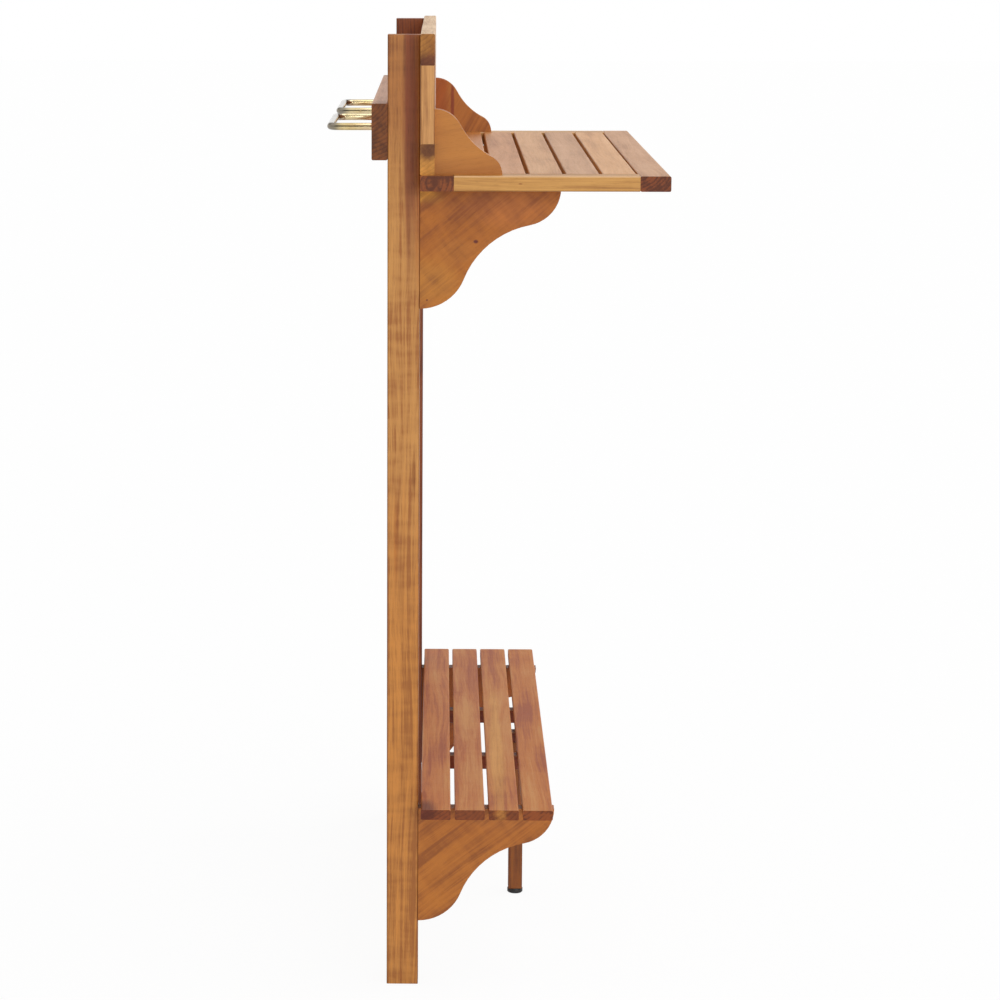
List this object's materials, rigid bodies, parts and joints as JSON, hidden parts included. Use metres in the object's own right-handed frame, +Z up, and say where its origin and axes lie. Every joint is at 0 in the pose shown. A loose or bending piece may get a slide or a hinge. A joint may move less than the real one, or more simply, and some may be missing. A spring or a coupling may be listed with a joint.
{
  "type": "bar table",
  "caption": "Wooden balcony bar table with slatted top, back panel, lower slatted shelf and a clamp bar whose square U-bolts and wing nuts hold it to a railing.",
  "frame": {"origin": "on the floor under the middle of the table, at the middle of the bounding box", "axes": "+Z up; -Y towards the person who stands at the table, +Y towards the railing; +X to that person's right"},
  "size_m": [0.9, 0.431, 1.2362],
  "materials": {
    "oiled_wood": "oiled acacia, satin, red-brown heartwood with darker streaks",
    "sapwood": "oiled acacia, satin, yellow-brown with paler sapwood",
    "dark_wood": "oiled acacia, satin, dark brown",
    "gold_zinc": "yellow-passivated zinc plating on steel, glossy with a faint iridescence",
    "steel": "bright zinc-plated steel",
    "black_plastic": "black moulded plastic, semi-matte"
  },
  "bodies": {
    "frame": {"post_left": "oiled_wood", "post_right": "oiled_wood", "clamp_bar": "dark_wood", "clamp_washers": "gold_zinc", "panel_top_rail": "sapwood", "panel_bottom_rail": "sapwood", "panel_stile_left": "sapwood", "panel_stile_right": "sapwood", "panel_slat_lower": "oiled_wood", "panel_slat_upper": "oiled_wood", "top_rear_rail": "oiled_wood", "top_front_rail": "oiled_wood", "top_side_rail_left": "sapwood", "top_side_rail_right": "sapwood", "top_slat_1": "oiled_wood", "top_slat_2": "oiled_wood", "top_slat_3": "oiled_wood", "top_slat_4": "oiled_wood", "top_slat_5": "oiled_wood", "top_batten": "dark_wood", "cheek_left": "oiled_wood", "cheek_right": "oiled_wood", "bracket_upper_left": "oiled_wood", "bracket_upper_right": "oiled_wood", "bracket_lower_left": "oiled_wood", "bracket_lower_right": "oiled_wood", "shelf_slat_1": "oiled_wood", "shelf_slat_2": "oiled_wood", "shelf_slat_3": "oiled_wood", "shelf_slat_4": "oiled_wood", "shelf_batten_left": "dark_wood", "shelf_batten_right": "dark_wood", "leg_block": "dark_wood", "leg": "dark_wood", "leg_insert": "steel", "bar_screws": "steel", "panel_screws": "steel", "bracket_screws": "steel", "cheek_screws": "steel", "top_screws": "steel", "shelf_screws": "steel", "angles_upper": "steel", "angles_lower": "steel", "angle_screws": "steel"},
    "u_bolt_left": {"u_bolt_left": "gold_zinc"},
    "u_bolt_right": {"u_bolt_right": "gold_zinc"},
    "foot_stem": {"foot_stem": "steel"},
    "foot_pad": {"foot_pad": "black_plastic"},
    "wing_nut_left_outer": {"wing_nut_left_outer": "gold_zinc"},
    "wing_nut_left_inner": {"wing_nut_left_inner": "gold_zinc"},
    "wing_nut_right_inner": {"wing_nut_right_inner": "gold_zinc"},
    "wing_nut_right_outer": {"wing_nut_right_outer": "gold_zinc"}
  },
  "joints": [
    {"name": "u_bolt_left_draw", "type": "slide", "parent": "frame", "child": "u_bolt_left", "axis": [0, -1, 0], "range_m": [0, 0.02]},
    {"name": "wing_nut_left_outer_turn", "type": "hinge", "parent": "frame", "child": "wing_nut_left_outer", "pos_m": [-0.286, 0.1355, 1.11375], "axis": [0, 1, 0], "range_deg": [0, 4800]},
    {"name": "wing_nut_left_inner_turn", "type": "hinge", "parent": "frame", "child": "wing_nut_left_inner", "pos_m": [-0.068, 0.1355, 1.11375], "axis": [0, 1, 0], "range_deg": [0, 4800]},
    {"name": "u_bolt_right_draw", "type": "slide", "parent": "frame", "child": "u_bolt_right", "axis": [0, -1, 0], "range_m": [0, 0.02]},
    {"name": "wing_nut_right_outer_turn", "type": "hinge", "parent": "frame", "child": "wing_nut_right_outer", "pos_m": [0.286, 0.1355, 1.11375], "axis": [0, 1, 0], "range_deg": [0, 4800]},
    {"name": "wing_nut_right_inner_turn", "type": "hinge", "parent": "frame", "child": "wing_nut_right_inner", "pos_m": [0.068, 0.1355, 1.11375], "axis": [0, 1, 0], "range_deg": [0, 4800]},
    {"name": "foot_travel", "type": "slide", "parent": "frame", "child": "foot_stem", "axis": [0, 0, -1], "range_m": [0, 0.006]},
    {"name": "foot_turn", "type": "hinge", "parent": "foot_stem", "child": "foot_pad", "pos_m": [0, -0.0425, 0.003], "axis": [0, 0, -1], "range_deg": [0, 1728]}
  ],
  "couplings": [
    {"joint": "wing_nut_left_outer_turn", "follows": "u_bolt_left_draw", "rad_per_m": 4188.8},
    {"joint": "wing_nut_left_inner_turn", "follows": "u_bolt_left_draw", "rad_per_m": 4188.8},
    {"joint": "wing_nut_right_outer_turn", "follows": "u_bolt_right_draw", "rad_per_m": 4188.8},
    {"joint": "wing_nut_right_inner_turn", "follows": "u_bolt_right_draw", "rad_per_m": 4188.8},
    {"joint": "foot_travel", "follows": "foot_turn", "m_per_rad": 0.00019894}
  ]
}
